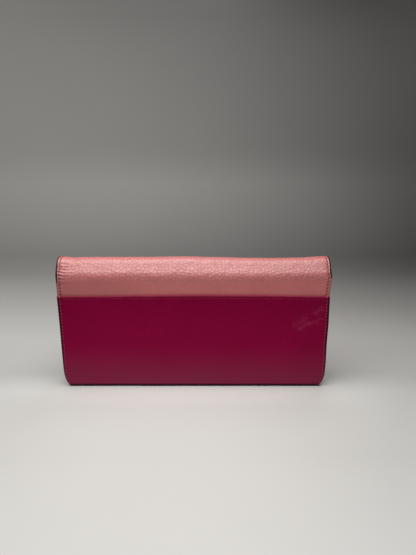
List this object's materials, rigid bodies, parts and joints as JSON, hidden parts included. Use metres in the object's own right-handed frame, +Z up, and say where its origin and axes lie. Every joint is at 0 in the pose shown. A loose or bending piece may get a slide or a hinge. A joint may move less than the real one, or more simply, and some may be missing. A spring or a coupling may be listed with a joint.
{
  "type": "long wallet",
  "caption": "Long flap wallet with a slip pocket on its back, a zip coin pocket divider, card slots, side gussets and a magnetic snap.",
  "frame": {"origin": "middle of the flat bottom that the closed wallet stands on", "axes": "+X along the length to the right when looking at the back pocket, +Y from the back pocket towards the flap, +Z up"},
  "size_m": [0.186, 0.023, 0.092],
  "materials": {
    "rose_leather": "pebbled grain, satin",
    "magenta_leather": "fine smooth grain, satin",
    "slot_leather": "smooth, satin",
    "gusset_leather": "smooth, satin",
    "lining_fabric": "fine woven textile",
    "stiffener_board": "matte",
    "zip_tape": "woven tape",
    "zip_coil": "satin",
    "metal_fittings": "polished, pale gold"
  },
  "bodies": {
    "back_body": {"back_slip_pocket": "magenta_leather", "bottom_wrap": "magenta_leather", "back_panel": "rose_leather", "back_board": "stiffener_board", "back_lining": "lining_fabric", "card_slot_left_rear": "slot_leather", "card_slot_left_middle": "slot_leather", "card_slot_left_front": "slot_leather", "card_slot_right_rear": "slot_leather", "card_slot_right_middle": "slot_leather", "card_slot_right_front": "slot_leather", "gusset_left": "gusset_leather", "gusset_right": "gusset_leather"},
    "divider": {"coin_pocket_back_wall": "slot_leather", "coin_pocket_front_wall": "slot_leather", "zip_tape_back": "zip_tape", "zip_tape_front": "zip_tape", "zip_coil_back": "zip_coil", "zip_coil_front": "zip_coil", "zip_stop_left": "metal_fittings", "zip_stop_right": "metal_fittings"},
    "zip_slider": {"zip_slider_body": "metal_fittings"},
    "zip_pull": {"zip_pull_tab": "metal_fittings"},
    "front_wall": {"front_panel": "magenta_leather", "front_lining": "lining_fabric", "snap_stud": "metal_fittings", "snap_stud_washer": "metal_fittings"},
    "flap_spine": {"spine_leather": "rose_leather", "spine_lining": "lining_fabric"},
    "flap": {"flap_leather": "rose_leather", "flap_board": "stiffener_board", "flap_lining": "lining_fabric", "snap_socket": "metal_fittings", "snap_socket_washer": "metal_fittings"}
  },
  "joints": [
    {"name": "flap_open", "type": "hinge", "parent": "back_body", "child": "flap_spine", "pos_m": [0, -0.00763, 0.08938], "axis": [1, 0, 0], "range_deg": [0, 90]},
    {"name": "flap_bend", "type": "hinge", "parent": "flap_spine", "child": "flap", "pos_m": [0, 0.00883, 0.08938], "axis": [1, 0, 0], "range_deg": [0, 90]},
    {"name": "divider_swing", "type": "hinge", "parent": "back_body", "child": "divider", "pos_m": [0, -0.00065, 0.004], "axis": [-1, 0, 0], "range_deg": [0, 11], "deforming": ["gusset_left", "gusset_right"]},
    {"name": "front_swing", "type": "hinge", "parent": "back_body", "child": "front_wall", "pos_m": [0, 0.00705, 0.00325], "axis": [-1, 0, 0], "range_deg": [0, 23.5], "deforming": ["gusset_left", "gusset_right"]},
    {"name": "zip_slide", "type": "slide", "parent": "divider", "child": "zip_slider", "axis": [-1, 0, 0], "range_m": [0, 0.149]},
    {"name": "pull_swing", "type": "hinge", "parent": "zip_slider", "child": "zip_pull", "pos_m": [0.0745, -0.00065, 0.0749], "axis": [0, 1, 0], "range_deg": [0, 180]}
  ],
  "couplings": [
    {"joint": "flap_bend", "follows": "flap_open", "ratio": 1},
    {"joint": "divider_swing", "follows": "flap_open", "ratio": 0.12},
    {"joint": "front_swing", "follows": "flap_open", "ratio": 0.26}
  ]
}
